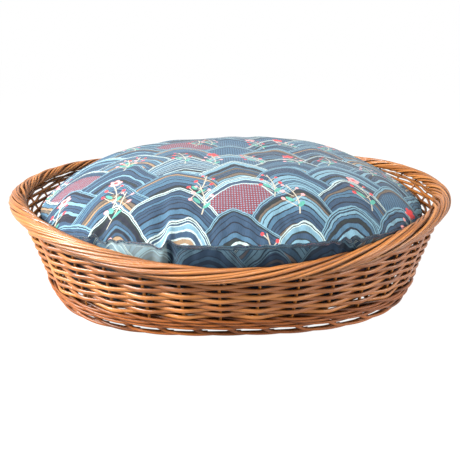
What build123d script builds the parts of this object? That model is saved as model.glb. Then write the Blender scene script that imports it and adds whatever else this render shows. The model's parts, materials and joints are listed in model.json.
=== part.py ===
from build123d import *
from math import atan2, cos, degrees, hypot, pi, radians, sin
import os

# An oval willow pet bed with a loose box cushion, in millimetres.
# The origin is on the floor under the middle of the basket, +X runs along its length, +Z is up,
# and -Y is the side that a dog or cat steps over.

# ---------------------------------------------------------------- driving dimensions
overall_length = 700.0
overall_width = 550.0
border_width = 22.8
border_height = 18.8
border_round = 5.0
border_stations = 17
rim_level_at_ends = 133.0
rim_dip = 31.4

foot_half_length = 291.0
foot_half_width = 240.0
foot_squareness = 2.7
foot_border_width = 9.0
foot_border_height = 8.0
foot_border_round = 1.5
foot_level = 4.0

stake_count = 40
stake_radius = 2.5
stake_foot_gap = 1.0
stake_head_gap = 1.2
stake_end_radius = 2.0
stake_end_lean = 0.9

base_bottom = 15.6
base_thickness = 11.0
long_stick_radius = 2.6
cross_stick_radius = 3.6
long_stick_spacing = 34.0
long_stick_count = 5
cross_stick_spacing = 46.0
cross_stick_count = 11
stick_length_share = 0.985
base_edge_gap = 0.4

wale_count = 3
wale_width = 14.8
siding_count = 15
course_pitch = 5.75
course_gap = 0.4
weaver_width = 3.6
weaver_swing = 5.6

cushion_bottom = 27.0
seam_level = 134.0
cushion_top = 188.0
bottom_half_length = 284.0
bottom_half_width = 229.0
seam_half_length = 300.0
seam_half_width = 248.0
cushion_squareness = 2.3
crown_power = 3.5
crown_layers = 7
crown_flat_share = 0.2
crown_spread = 1.6
cover_thickness = 1.5
case_thickness = 1.0
layer_gap = 0.2

zip_level = 82.0
zip_half_travel = 120.0
zip_half_length = 150.0
zip_end_margin = 5.0
tape_width = 11.0
tape_thickness = 0.8
coil_width = 4.0
coil_thickness = 1.6
slider_length = 16.0
slider_width = 9.0
slider_thickness = 3.2
slider_gap = 1.2
slider_bevel = 0.8

# ---------------------------------------------------------------- worked-out dimensions
rim_half_length = (overall_length - border_width) / 2
rim_half_width = (overall_width - border_width) / 2
course_height = course_pitch - course_gap
siding_bottom = base_bottom + wale_count * course_pitch


# ---------------------------------------------------------------- shape of the wall
def oval_reach(angle, half_length, half_width, squareness):
    """Distance from the middle to a squared oval, in the direction of angle."""
    along = abs(cos(angle) / half_length) ** squareness
    across = abs(sin(angle) / half_width) ** squareness
    return (along + across) ** (-1 / squareness)


def rim_level(x):
    """Height of the border's centre line: the rim is low in the middle of both long sides."""
    return rim_level_at_ends - rim_dip * (1 - (x / rim_half_length) ** 2) ** 2


def wall_reach(angle, level):
    """Distance from the middle to the wall's centre surface at a level."""
    rim = oval_reach(angle, rim_half_length, rim_half_width, 2)
    foot = oval_reach(angle, foot_half_length, foot_half_width, foot_squareness)
    share = (level - foot_level) / (rim_level(rim * cos(angle)) - foot_level)
    return foot + (rim - foot) * share


def even_angles(count):
    """Directions that space count stakes evenly along the rim."""
    steps = 3600
    turn = [2 * pi * i / steps for i in range(steps + 1)]
    reach = [oval_reach(a, rim_half_length, rim_half_width, 2) for a in turn]
    travel = [0.0]
    for i in range(steps):
        dx = reach[i + 1] * cos(turn[i + 1]) - reach[i] * cos(turn[i])
        dy = reach[i + 1] * sin(turn[i + 1]) - reach[i] * sin(turn[i])
        travel.append(travel[-1] + hypot(dx, dy))
    angles = []
    i = 0
    for k in range(count):
        while travel[i] < travel[-1] * (k + 0.5) / count:
            i += 1
        angles.append(turn[i])
    return angles


stake_angles = even_angles(stake_count)
gap_angles = [
    (a + b) / 2 for a, b in zip(stake_angles, stake_angles[1:] + [stake_angles[0] + 2 * pi])
]


def polar(reach, angle):
    return (reach * cos(angle), reach * sin(angle))


def wall_outline(level, offset):
    """Closed outline of the wall at a level, moved outward by offset."""
    return [polar(wall_reach(a, level) + offset, a) for a in stake_angles]


def weaver_outline(level, first_side, offset):
    """Outline of one randing rod: outside one stake, inside the next, all the way round."""
    points = []
    side = first_side
    for stake, gap in zip(stake_angles, gap_angles):
        points.append(polar(wall_reach(stake, level) + side * weaver_swing + offset, stake))
        points.append(polar(wall_reach(gap, level) + offset, gap))
        side = -side
    return points


def oval_outline(half_length, half_width, squareness, count=24):
    turn = [2 * pi * (i + 0.5) / count for i in range(count)]
    return [polar(oval_reach(a, half_length, half_width, squareness), a) for a in turn]


def outline_face(points, mode=Mode.ADD):
    """Fill a smooth closed outline in the sketch that is open."""
    with BuildLine() as outline:
        Spline(*points, periodic=True)
    make_face(outline.edges(), mode=mode)


def ring(level, height, outer, inner):
    """Stand a smooth ring between two outlines on a level, in the part that is open."""
    with BuildSketch(Plane.XY.offset(level)) as section:
        outline_face(outer)
        outline_face(inner, Mode.SUBTRACT)
    extrude(section.sketch, amount=height)


def woven_ring(level, height, outer, inner):
    """Stand a ring of straight runs from stake to stake on a level, in the part that is open."""
    with BuildSketch(Plane.XY.offset(level)) as section:
        Polygon(*outer, align=None)
        Polygon(*inner, align=None, mode=Mode.SUBTRACT)
    extrude(section.sketch, amount=height)


def rod_between(start, end, radius):
    """Add a straight rod to the part that is open."""
    run = Vector(*end) - Vector(*start)
    with BuildSketch(Plane(origin=start, z_dir=run)) as section:
        Circle(radius)
    extrude(section.sketch, amount=run.length)


os.makedirs("parts", exist_ok=True)

# ---------------------------------------------------------------- foot border
with BuildPart() as foot_border:
    ring(
        0,
        foot_border_height,
        wall_outline(foot_level, foot_border_width / 2),
        wall_outline(foot_level, -foot_border_width / 2),
    )
    chamfer(foot_border.edges().filter_by(Plane.XY), length=foot_border_round)
foot_border.part.label = "foot_border"
export_step(foot_border.part, "parts/foot_border.step")

# ---------------------------------------------------------------- stake ends that carry the foot border
# Each end leaves the wall under a stake and leans most of the way to the middle of the next gap.
end_rise = base_bottom - foot_border_height - 2 * stake_end_radius - course_gap
with BuildPart() as foot_stake_ends:
    for stake, gap in zip(stake_angles, gap_angles):
        lean = stake + (gap - stake) * stake_end_lean
        low = foot_border_height + stake_end_radius + course_gap / 2
        rod_between(
            (*polar(wall_reach(lean, foot_level), lean), low),
            (*polar(wall_reach(stake, foot_level), stake), low + end_rise),
            stake_end_radius,
        )
foot_stake_ends.part.label = "foot_stake_ends"
export_step(foot_stake_ends.part, "parts/foot_stake_ends.step")


# ---------------------------------------------------------------- side stakes
def stakes(radius):
    """Every side stake, from the bottom of the wall to the underside of the border."""
    with BuildPart() as rods:
        for angle in stake_angles:
            rim = oval_reach(angle, rim_half_length, rim_half_width, 2)
            low = base_bottom + stake_foot_gap
            high = rim_level(rim * cos(angle)) - border_height / 2 - stake_head_gap
            rod_between(
                (*polar(wall_reach(angle, low), angle), low),
                (*polar(wall_reach(angle, high), angle), high),
                radius,
            )
    return rods.part


whole_stakes = stakes(stake_radius)
stake_channels = stakes(stake_radius + course_gap)

with BuildPart() as side_stakes:
    add(whole_stakes)
side_stakes.part.label = "side_stakes"
export_step(side_stakes.part, "parts/side_stakes.step")

# ---------------------------------------------------------------- upsett waling
for number in range(1, wale_count + 1):
    level = base_bottom + (number - 1) * course_pitch
    middle = level + course_height / 2
    with BuildPart() as wale:
        ring(
            level,
            course_height,
            wall_outline(middle, wale_width / 2),
            wall_outline(middle, -wale_width / 2),
        )
        add(stake_channels, mode=Mode.SUBTRACT)
    wale.part.label = f"upsett_wale_{number}"
    export_step(wale.part, f"parts/upsett_wale_{number}.step")

# ---------------------------------------------------------------- siding, one rod a course
# The courses run level, so the upper ones end where the border dips and exist only at the two ends.
border_underside_low = rim_level(0) - border_height / 2
for number in range(1, siding_count + 1):
    level = siding_bottom + (number - 1) * course_pitch
    middle = level + course_height / 2
    top = level + course_height + course_gap
    side = 1 if number % 2 else -1
    with BuildPart() as row:
        woven_ring(
            level,
            course_height,
            weaver_outline(middle, side, weaver_width / 2),
            weaver_outline(middle, side, -weaver_width / 2),
        )
        if top > border_underside_low:
            share = (rim_level_at_ends - border_height / 2 - top) / rim_dip
            cut = rim_half_length * (1 - share**0.5) ** 0.5
            Box(2 * cut, overall_width, 2 * overall_width, mode=Mode.SUBTRACT)
    row.part.label = f"siding_row_{number:02d}"
    export_step(row.part, f"parts/siding_row_{number:02d}.step")

# ---------------------------------------------------------------- rolled border
with BuildPart() as rolled_border:
    with BuildSketch():
        Ellipse(rim_half_length + border_width / 2, rim_half_width + border_width / 2)
        Ellipse(
            rim_half_length - border_width / 2,
            rim_half_width - border_width / 2,
            mode=Mode.SUBTRACT,
        )
    extrude(amount=2 * rim_level_at_ends)
    reach = overall_length / 2 + border_width
    stations = [reach * (2 * i / (border_stations - 1) - 1) for i in range(border_stations)]
    levels = [rim_level(min(max(x, -rim_half_length), rim_half_length)) for x in stations]
    with BuildSketch(Plane.XZ):
        with BuildLine():
            upper = Spline(*[(x, z + border_height / 2) for x, z in zip(stations, levels)])
            lower = Spline(*[(x, z - border_height / 2) for x, z in zip(stations, levels)])
            Line(upper @ 0, lower @ 0)
            Line(upper @ 1, lower @ 1)
        make_face()
    extrude(amount=overall_width, both=True, mode=Mode.INTERSECT)
    chamfer(rolled_border.edges().filter_by(GeomType.LINE, reverse=True), length=border_round)
rolled_border.part.label = "rolled_border"
export_step(rolled_border.part, "parts/rolled_border.step")

# ---------------------------------------------------------------- woven base
base_level = base_bottom + base_thickness / 2
base_outline = wall_outline(base_bottom + course_height / 2, -wale_width / 2 - base_edge_gap)


def base_sticks(count, spacing, radius, lengthwise):
    """Parallel sticks in the base, each as long as the base is wide where it lies."""
    with BuildPart() as sticks:
        for i in range(count):
            place = (i - (count - 1) / 2) * spacing
            span = overall_length
            if lengthwise:
                rod_between((-span / 2, place, base_level), (span / 2, place, base_level), radius)
            else:
                rod_between((place, -span / 2, base_level), (place, span / 2, base_level), radius)
        with BuildSketch(Plane.XY.offset(base_bottom)) as reach:
            outline_face([(x * stick_length_share, y * stick_length_share) for x, y in base_outline])
        extrude(reach.sketch, amount=base_thickness, mode=Mode.INTERSECT)
    return sticks.part


long_sticks = base_sticks(long_stick_count, long_stick_spacing, long_stick_radius, True)
cross_sticks = base_sticks(cross_stick_count, cross_stick_spacing, cross_stick_radius, False)

with BuildPart() as base_long_sticks:
    add(long_sticks)
base_long_sticks.part.label = "base_long_sticks"
export_step(base_long_sticks.part, "parts/base_long_sticks.step")

# the cross sticks are slit, and the long sticks are threaded through them
with BuildPart() as base_cross_sticks:
    add(cross_sticks)
    add(long_sticks, mode=Mode.SUBTRACT)
base_cross_sticks.part.label = "base_cross_sticks"
export_step(base_cross_sticks.part, "parts/base_cross_sticks.step")

with BuildPart() as base_weave:
    with BuildSketch(Plane.XY.offset(base_bottom)):
        outline_face(base_outline)
    extrude(amount=base_thickness)
    add(long_sticks, mode=Mode.SUBTRACT)
    add(cross_sticks, mode=Mode.SUBTRACT)
base_weave.part.label = "base_weave"
export_step(base_weave.part, "parts/base_weave.step")


# ---------------------------------------------------------------- cushion layers
def cushion_section(level, inset):
    """Outline of the cushion's side at a level, drawn in by inset."""
    share = (level - cushion_bottom) / (seam_level - cushion_bottom)
    half_length = bottom_half_length + (seam_half_length - bottom_half_length) * share
    half_width = bottom_half_width + (seam_half_width - bottom_half_width) * share
    return oval_outline(half_length - inset, half_width - inset, cushion_squareness)


def cushion_side(inset, low, high):
    """The straight side of the cushion between two levels."""
    with BuildPart() as side:
        for level in (low, high):
            with BuildSketch(Plane.XY.offset(level)):
                outline_face(cushion_section(level, inset))
        loft(ruled=True)
    return side.part


def cushion_crown(inset):
    """The domed top of the cushion above its seam."""
    rise = cushion_top - inset - seam_level
    with BuildPart() as crown:
        for i in range(crown_layers):
            share = 1 - (1 - crown_flat_share) * (i / (crown_layers - 1)) ** crown_spread
            level = seam_level + rise * (1 - share**crown_power)
            with BuildSketch(Plane.XY.offset(level)):
                outline_face(
                    oval_outline(
                        (seam_half_length - inset) * share,
                        (seam_half_width - inset) * share,
                        cushion_squareness,
                    )
                )
        loft(ruled=True)
    return crown.part


def cushion_body(inset):
    """Side and crown in one."""
    return cushion_side(inset, cushion_bottom + inset, seam_level) + cushion_crown(inset)


case_inset = cover_thickness + layer_gap
fill_inset = case_inset + case_thickness + layer_gap

filling_body = cushion_body(fill_inset)
case_outside = cushion_body(case_inset)
case_inside = cushion_body(case_inset + case_thickness)

with BuildPart() as cushion_filling:
    add(filling_body)
cushion_filling.part.label = "cushion_filling"
export_step(cushion_filling.part, "parts/cushion_filling.step")

with BuildPart() as inner_case:
    add(case_outside)
    add(case_inside, mode=Mode.SUBTRACT)
inner_case.part.label = "inner_case"
export_step(inner_case.part, "parts/inner_case.step")

# ---------------------------------------------------------------- cushion cover
crown_outside = cushion_crown(0)
crown_inside = cushion_crown(cover_thickness)
with BuildPart() as cover_top_panel:
    add(crown_outside)
    add(crown_inside, mode=Mode.SUBTRACT)
cover_top_panel.part.label = "cover_top_panel"
export_step(cover_top_panel.part, "parts/cover_top_panel.step")

band_bottom = cushion_bottom + cover_thickness
side_band = cushion_side(0, band_bottom, seam_level) - cushion_side(
    cover_thickness, band_bottom, seam_level
)
back_half = Pos(0, overall_width / 2, seam_level / 2) * Box(
    2 * (zip_half_length + zip_end_margin), overall_width, 2 * seam_level
)
zip_slot = Pos(0, overall_width / 2, zip_level) * Box(
    2 * zip_half_length, overall_width, 2 * tape_width
)

with BuildPart() as cover_front_band:
    add(side_band)
    add(back_half, mode=Mode.SUBTRACT)
cover_front_band.part.label = "cover_front_band"
export_step(cover_front_band.part, "parts/cover_front_band.step")

with BuildPart() as cover_back_band:
    add(side_band)
    add(back_half, mode=Mode.INTERSECT)
    add(zip_slot, mode=Mode.SUBTRACT)
cover_back_band.part.label = "cover_back_band"
export_step(cover_back_band.part, "parts/cover_back_band.step")

with BuildPart() as cover_bottom_panel:
    with BuildSketch(Plane.XY.offset(cushion_bottom)):
        outline_face(cushion_section(cushion_bottom, 0))
    extrude(amount=cover_thickness)
cover_bottom_panel.part.label = "cover_bottom_panel"
export_step(cover_bottom_panel.part, "parts/cover_bottom_panel.step")

# ---------------------------------------------------------------- zip in the back band
def side_strip(outer_inset, inner_inset, low, high):
    """A thin strip that follows the cushion's side between two levels."""
    return cushion_side(outer_inset, low, high) - cushion_side(inner_inset, low, high)


for name, low in (("zip_tape_upper", zip_level), ("zip_tape_lower", zip_level - tape_width)):
    strip = side_strip(0, tape_thickness, low, low + tape_width)
    with BuildPart() as tape:
        add(strip)
        add(zip_slot, mode=Mode.INTERSECT)
    tape.part.label = name
    export_step(tape.part, f"parts/{name}.step")

strip = side_strip(-coil_thickness, -layer_gap, zip_level - coil_width / 2, zip_level + coil_width / 2)
with BuildPart() as zip_coil:
    add(strip)
    add(zip_slot, mode=Mode.INTERSECT)
zip_coil.part.label = "zip_coil"
export_step(zip_coil.part, "parts/zip_coil.step")

# The back of the cushion is close to an arc, so the slider travels on that arc about an upright axis.
zip_share = (zip_level - cushion_bottom) / (seam_level - cushion_bottom)
zip_back = bottom_half_width + (seam_half_width - bottom_half_width) * zip_share
zip_side = bottom_half_length + (seam_half_length - bottom_half_length) * zip_share
zip_end_share = 1 - (zip_half_travel / zip_side) ** cushion_squareness
zip_end_drop = zip_back * (1 - zip_end_share ** (1 / cushion_squareness))
zip_arc_radius = (zip_half_travel**2 + zip_end_drop**2) / (2 * zip_end_drop)
zip_axis_y = zip_back - zip_arc_radius
zip_half_turn = degrees(atan2(zip_half_travel, zip_arc_radius - zip_end_drop))

slider_reach = zip_arc_radius + coil_thickness + slider_gap
slider_plane = Plane(
    origin=(
        slider_reach * sin(radians(zip_half_turn)),
        zip_axis_y + slider_reach * cos(radians(zip_half_turn)),
        zip_level,
    ),
    x_dir=(cos(radians(zip_half_turn)), -sin(radians(zip_half_turn)), 0),
    z_dir=(sin(radians(zip_half_turn)), cos(radians(zip_half_turn)), 0),
)
with BuildPart() as zip_slider:
    with BuildSketch(slider_plane):
        RectangleRounded(slider_length, slider_width, slider_width / 4)
    extrude(amount=slider_thickness)
    chamfer(zip_slider.faces().sort_by(Axis.Y)[-1].edges(), length=slider_bevel)
zip_slider.part.label = "zip_slider"
export_step(zip_slider.part, "parts/zip_slider.step")

print("zip axis y", round(zip_axis_y, 2), "mm, whole turn", round(2 * zip_half_turn, 2), "degrees")
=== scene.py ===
import json
import math
import bpy
import numpy as np
from mathutils import Matrix, Vector


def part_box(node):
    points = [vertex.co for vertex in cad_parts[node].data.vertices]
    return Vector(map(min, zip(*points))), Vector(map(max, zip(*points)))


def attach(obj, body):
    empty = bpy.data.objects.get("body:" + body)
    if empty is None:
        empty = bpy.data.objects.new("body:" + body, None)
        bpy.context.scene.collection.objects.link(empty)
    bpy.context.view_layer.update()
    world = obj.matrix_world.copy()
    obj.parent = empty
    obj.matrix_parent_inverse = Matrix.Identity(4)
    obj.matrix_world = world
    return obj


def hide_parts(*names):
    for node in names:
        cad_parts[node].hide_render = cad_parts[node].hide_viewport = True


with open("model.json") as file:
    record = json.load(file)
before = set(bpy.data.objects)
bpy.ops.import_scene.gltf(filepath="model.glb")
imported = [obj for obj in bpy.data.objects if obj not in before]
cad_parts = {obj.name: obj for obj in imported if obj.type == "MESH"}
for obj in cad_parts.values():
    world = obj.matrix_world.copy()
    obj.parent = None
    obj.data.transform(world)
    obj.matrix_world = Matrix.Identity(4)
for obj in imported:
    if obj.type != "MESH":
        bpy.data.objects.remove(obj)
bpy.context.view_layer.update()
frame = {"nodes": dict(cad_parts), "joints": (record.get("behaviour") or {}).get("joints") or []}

# ---------------------------------------------------------------- sizes, in metres
BORDER_WIDTH = 0.0228
BORDER_HEIGHT = 0.0188
FOOT_WIDTH = 0.009
FOOT_SQUARENESS = 2.7
FOOT_LEVEL = 0.004
STAKES = 40
STAKE_RADIUS = 0.0019
STAKE_FOOT = 0.0165
SIDING_ROWS = 15
ROD_RADIUS = 0.0029
ROD_FLATNESS = 0.62
ROD_TUCK = 0.003
# how far a rod stands in front of and behind the stakes, and how many points it has from stake to stake
SWING = 0.0037
STEPS = 16
WALES = 3
WALE_RADIUS = 0.0021
WALE_DROP = 0.0032
WALE_PERIODS = 13
BORDER_STRAND = 0.0020
BORDER_RODS_A_STAKE = 3
PACKING_RADIUS = 0.0021
CORE_RADIUS = 0.0036
FOOT_STRAND = 0.0024
FOOT_ROD_START = 0.0168
CROSS_STICKS, LONG_STICKS = 11, 5
BASE_ROD = 0.0025
BASE_ROUNDS = 44
BASE_REACH = 0.002

border_low, border_high = (Vector(c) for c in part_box("rolled_border"))
foot_low, foot_high = (Vector(c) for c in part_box("foot_border"))
RIM_A = border_high.x - BORDER_WIDTH / 2
RIM_B = border_high.y - BORDER_WIDTH / 2
RIM_TOP = border_high.z - BORDER_HEIGHT / 2
RIM_DIP = RIM_TOP - BORDER_HEIGHT / 2 - border_low.z
FOOT_A = foot_high.x - FOOT_WIDTH / 2
FOOT_B = foot_high.y - FOOT_WIDTH / 2


# ---------------------------------------------------------------- the wall's surface
def oval_reach(angle, half_length, half_width, squareness):
    along = np.abs(np.cos(angle) / half_length) ** squareness
    across = np.abs(np.sin(angle) / half_width) ** squareness
    return (along + across) ** (-1 / squareness)


def rim_level(x):
    return RIM_TOP - RIM_DIP * (1 - np.clip(x / RIM_A, -1, 1) ** 2) ** 2


def rim_travel():
    """Polar directions all round, and how far along the rim each of them is."""
    turn = np.linspace(0, 2 * np.pi, 3601)
    reach = oval_reach(turn, RIM_A, RIM_B, 2)
    steps = np.hypot(np.diff(reach * np.cos(turn)), np.diff(reach * np.sin(turn)))
    travel = np.concatenate([[0], np.cumsum(steps)])
    return turn, travel


TURN, TRAVEL = rim_travel()


def direction(station):
    """Polar direction of a station: station k is stake k."""
    station = np.asarray(station, float)
    laps = np.floor((station + 0.5) / STAKES)
    within = (station + 0.5) / STAKES - laps
    return np.interp(within * TRAVEL[-1], TRAVEL, TURN) + 2 * np.pi * laps


def wall_point(station, level, offset):
    """Points on the wall, moved outward from its centre surface by offset."""
    def place(stations):
        angle = direction(stations)
        rim = oval_reach(angle, RIM_A, RIM_B, 2)
        foot = oval_reach(angle, FOOT_A, FOOT_B, FOOT_SQUARENESS)
        share = (level - FOOT_LEVEL) / (rim_level(rim * np.cos(angle)) - FOOT_LEVEL)
        reach = foot + (rim - foot) * share
        return np.stack([reach * np.cos(angle), reach * np.sin(angle)], -1)

    here = place(station)
    ahead = place(np.asarray(station) + 0.02) - place(np.asarray(station) - 0.02)
    ahead /= np.linalg.norm(ahead, axis=-1, keepdims=True)
    outward = np.stack([ahead[..., 1], -ahead[..., 0]], -1)
    offset = np.broadcast_to(offset, np.shape(station))
    flat = here + outward * offset[..., None]
    level = np.broadcast_to(level, np.shape(station))
    return np.concatenate([flat, level[..., None]], -1)


def rim_frame(station):
    """Centre of the border, its outward direction and its upward direction."""
    angle = direction(station)
    reach = oval_reach(angle, RIM_A, RIM_B, 2)
    x, y = reach * np.cos(angle), reach * np.sin(angle)
    centre = np.stack([x, y, rim_level(x)], -1)
    outward = np.stack([x / RIM_A**2, y / RIM_B**2, np.zeros_like(x)], -1)
    outward /= np.linalg.norm(outward, axis=-1, keepdims=True)
    return centre, outward, np.array([0.0, 0.0, 1.0])


# ---------------------------------------------------------------- rods
class Rods:
    """Collects rods as tubes in one mesh, with a shade, a run and a place on its skin on every vertex."""

    def __init__(self, seed):
        self.random = np.random.default_rng(seed)
        self.verts, self.faces, self.shade, self.run, self.skin_x, self.skin_y = [], [], [], [], [], []
        self.count = 0

    def add(self, path, radius, flat=1.0, up=(0, 0, 1), sides=10, closed=False, shade=None):
        """A tube along path. radius may vary along it, and flat flattens it across up."""
        path = np.asarray(path, float)
        n = len(path)
        if closed:
            ahead = np.roll(path, -1, 0) - np.roll(path, 1, 0)
        else:
            ahead = np.gradient(path, axis=0)
        ahead /= np.linalg.norm(ahead, axis=1, keepdims=True)
        up = np.broadcast_to(up, path.shape)
        side = np.cross(ahead, up)
        side /= np.linalg.norm(side, axis=1, keepdims=True)
        top = np.cross(side, ahead)
        radius = np.broadcast_to(radius, (n,))
        around = 2 * np.pi * np.arange(sides) / sides
        ring = (
            side[:, None] * np.cos(around)[None, :, None] * flat
            + top[:, None] * np.sin(around)[None, :, None]
        )
        verts = path[:, None] + ring * radius[:, None, None]
        length = np.concatenate([[0], np.cumsum(np.linalg.norm(np.diff(path, axis=0), axis=1))])
        start = self.count
        self.verts.append(verts.reshape(-1, 3))
        if shade is None:
            shade = self.random.random()
        self.shade.append(np.repeat(np.broadcast_to(shade, (n,)), sides))
        self.run.append(np.repeat(length + self.random.random() * 10, sides))
        self.skin_x.append(np.tile(np.cos(around), n))
        self.skin_y.append(np.tile(np.sin(around), n))
        rows = n if closed else n - 1
        i = np.arange(rows)[:, None] * sides
        j = (np.arange(rows)[:, None] + 1) % n * sides
        a, b = np.arange(sides)[None], (np.arange(sides)[None] + 1) % sides
        quads = np.stack([i + a, i + b, j + b, j + a], -1).reshape(-1, 4) + start
        self.faces += quads.tolist()
        if not closed:
            self.faces.append((np.arange(sides)[::-1] + start).tolist())
            self.faces.append((np.arange(sides) + start + (n - 1) * sides).tolist())
        self.count += n * sides

    def make(self, name, material, nodes, body="basket"):
        mesh = bpy.data.meshes.new(name)
        mesh.from_pydata(np.concatenate(self.verts), [], self.faces)
        for label, parts in (
            ("shade", self.shade), ("run", self.run), ("skin_x", self.skin_x), ("skin_y", self.skin_y)
        ):
            values = np.concatenate(parts)
            mesh.attributes.new(label, "FLOAT", "POINT").data.foreach_set("value", values)
        mesh.shade_smooth()
        mesh.materials.append(material)
        piece = bpy.data.objects.new(name, mesh)
        bpy.context.scene.collection.objects.link(piece)
        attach(piece, body)
        if nodes:
            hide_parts(*nodes)


def slow_noise(random, count, knots, periodic=False):
    """Smooth values around 0 along a rod."""
    values = random.normal(size=knots + 1)
    if periodic:
        values[-1] = values[0]
    at = np.linspace(0, knots, count)
    low = np.minimum(at.astype(int), knots - 1)
    t = at - low
    t = t * t * (3 - 2 * t)
    return values[low] * (1 - t) + values[low + 1] * t


# ---------------------------------------------------------------- material helpers
class Graph:
    """A small writer for node materials."""

    def __init__(self, name):
        self.material = bpy.data.materials.new(name)
        self.material.use_nodes = True
        self.tree = self.material.node_tree
        self.tree.nodes.clear()

    def node(self, kind, inputs=None, **settings):
        made = self.tree.nodes.new(kind)
        for key, value in settings.items():
            setattr(made, key, value)
        for key, value in (inputs or {}).items():
            if isinstance(value, bpy.types.NodeSocket):
                self.tree.links.new(value, made.inputs[key])
            elif value is not None:
                made.inputs[key].default_value = value
        return made

    def math(self, operation, a, b=None, c=None, clamp=False):
        made = self.node("ShaderNodeMath", {0: a, 1: b, 2: c}, operation=operation, use_clamp=clamp)
        return made.outputs[0]

    def add(self, a, b, clamp=False):
        return self.math("ADD", a, b, clamp=clamp)

    def sub(self, a, b, clamp=False):
        return self.math("SUBTRACT", a, b, clamp=clamp)

    def mul(self, a, b, clamp=False):
        return self.math("MULTIPLY", a, b, clamp=clamp)

    def div(self, a, b):
        return self.math("DIVIDE", a, b)

    def less(self, a, b):
        return self.math("LESS_THAN", a, b)

    def more(self, a, b):
        return self.math("GREATER_THAN", a, b)

    def value(self, attribute):
        return self.node("ShaderNodeAttribute", attribute_name=attribute).outputs["Fac"]

    def join(self, x, y, z=0.0):
        return self.node("ShaderNodeCombineXYZ", {0: x, 1: y, 2: z}).outputs[0]

    def split(self, vector):
        return self.node("ShaderNodeSeparateXYZ", {0: vector}).outputs

    def place(self):
        return self.node("ShaderNodeTexCoord").outputs["Object"]

    def luck(self, x, y, z):
        """Three even random numbers for each whole x, y and z."""
        made = self.node("ShaderNodeTexWhiteNoise", {"Vector": self.join(x, y, z)}, noise_dimensions="3D")
        return self.node("ShaderNodeSeparateColor", {0: made.outputs["Color"]}).outputs

    def noise(self, vector, scale, detail=2.0, rough=0.5):
        inputs = {"Vector": vector, "Scale": scale, "Detail": detail, "Roughness": rough}
        return self.node("ShaderNodeTexNoise", inputs).outputs[0]

    def mix(self, factor, a, b):
        made = self.node("ShaderNodeMix", data_type="RGBA")
        for socket, value in ((0, factor), (6, a), (7, b)):
            if isinstance(value, bpy.types.NodeSocket):
                self.tree.links.new(value, made.inputs[socket])
            else:
                made.inputs[socket].default_value = value
        return made.outputs[2]

    def ramp(self, factor, stops, constant=False):
        made = self.node("ShaderNodeValToRGB", {0: factor})
        elements = made.color_ramp.elements
        while len(elements) > 1:
            elements.remove(elements[-1])
        elements[0].position, elements[0].color = stops[0][0], rgb(stops[0][1])
        for at, colour in stops[1:]:
            elements.new(at).color = rgb(colour)
        made.color_ramp.interpolation = "CONSTANT" if constant else "LINEAR"
        return made.outputs[0]

    def bump(self, height, distance, strength):
        inputs = {"Height": height, "Distance": distance, "Strength": strength}
        return self.node("ShaderNodeBump", inputs).outputs[0]

    def finish(self, colour, roughness, normal=None, **fixed):
        inputs = {"Base Color": colour, "Roughness": roughness, "Normal": normal}
        inputs.update({key.replace("_", " "): value for key, value in fixed.items()})
        shader = self.node("ShaderNodeBsdfPrincipled", inputs)
        self.node("ShaderNodeOutputMaterial", {0: shader.outputs[0]})
        return self.material


def rgb(colour):
    """A colour in 0-255 screen values, as the linear values that a node takes."""
    linear = [((c / 255 + 0.055) / 1.055) ** 2.4 if c > 10 else c / 255 / 12.92 for c in colour]
    return (*linear, 1.0)


# ---------------------------------------------------------------- willow
def willow_material(name, light, middle, dark, roughness, gloss, touching="skin_y", narrow=5.0):
    """Buff willow: glossy skin, fine grain, mottling, bud scars, and painted shade where rods touch."""
    g = Graph(name)
    shade = g.value("shade")
    run = g.value("run")
    across_x = g.value("skin_x")
    across_y = g.value("skin_y")
    skin = g.join(across_x, across_y, g.mul(run, 4.0))
    apart = g.node("ShaderNodeVectorMath", {0: skin, 1: g.join(0, 0, g.mul(shade, 37.0))})
    mottle = g.noise(apart.outputs[0], 2.3, 3.0, 0.6)
    fibres = g.join(g.mul(across_x, 6.0), g.mul(across_y, 6.0), g.mul(run, 9.0))
    grain = g.noise(fibres, 2.0, 3.0, 0.6)
    tone = g.add(g.mul(shade, 0.40), g.mul(mottle, 0.62))
    tone = g.add(tone, g.mul(g.sub(grain, 0.5), 0.5), clamp=True)
    colour = g.ramp(tone, [(0.12, dark), (0.5, middle), (0.92, light)])
    scar = g.noise(g.join(across_x, across_y, g.mul(run, 16.0)), 1.1, 1.0)
    scar = g.more(scar, 0.735)
    colour = g.mix(g.mul(scar, 0.45), colour, rgb([c * 0.5 for c in dark]))
    # painted shade: the colour darkens towards the sides of each rod that face its neighbours
    crease_shade = g.math("POWER", g.math("ABSOLUTE", g.value(touching)), narrow)
    colour = g.mix(g.mul(crease_shade, 0.7), colour, rgb([c * 0.45 for c in dark]))
    rough = g.add(roughness - 0.09, g.mul(mottle, 0.22))
    normal = g.bump(grain, 0.0006, 0.55)
    coat = gloss * 0.7
    return g.finish(colour, rough, normal, Specular_IOR_Level=gloss, Coat_Weight=coat, Coat_Roughness=0.24)


rod_willow = willow_material("willow_rod", (168, 108, 50), (134, 77, 29), (94, 48, 16), 0.32, 0.32)
border_willow = willow_material(
    "willow_border", (160, 106, 54), (128, 76, 32), (84, 45, 17), 0.30, 0.30, "skin_x", 3.5
)
# painted shade: the wales and the foot take a darker copy of the willow, with wider painted shade in its
# creases, so that the basket's lower part looks shaded
shaded_low_willow = willow_material(
    "willow_low_shaded", (156, 90, 37), (118, 62, 20), (56, 26, 7), 0.36, 0.16, "skin_y", 2.2
)
base_willow = willow_material("willow_base", (150, 102, 56), (120, 74, 36), (84, 46, 20), 0.42, 0.20)


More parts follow.
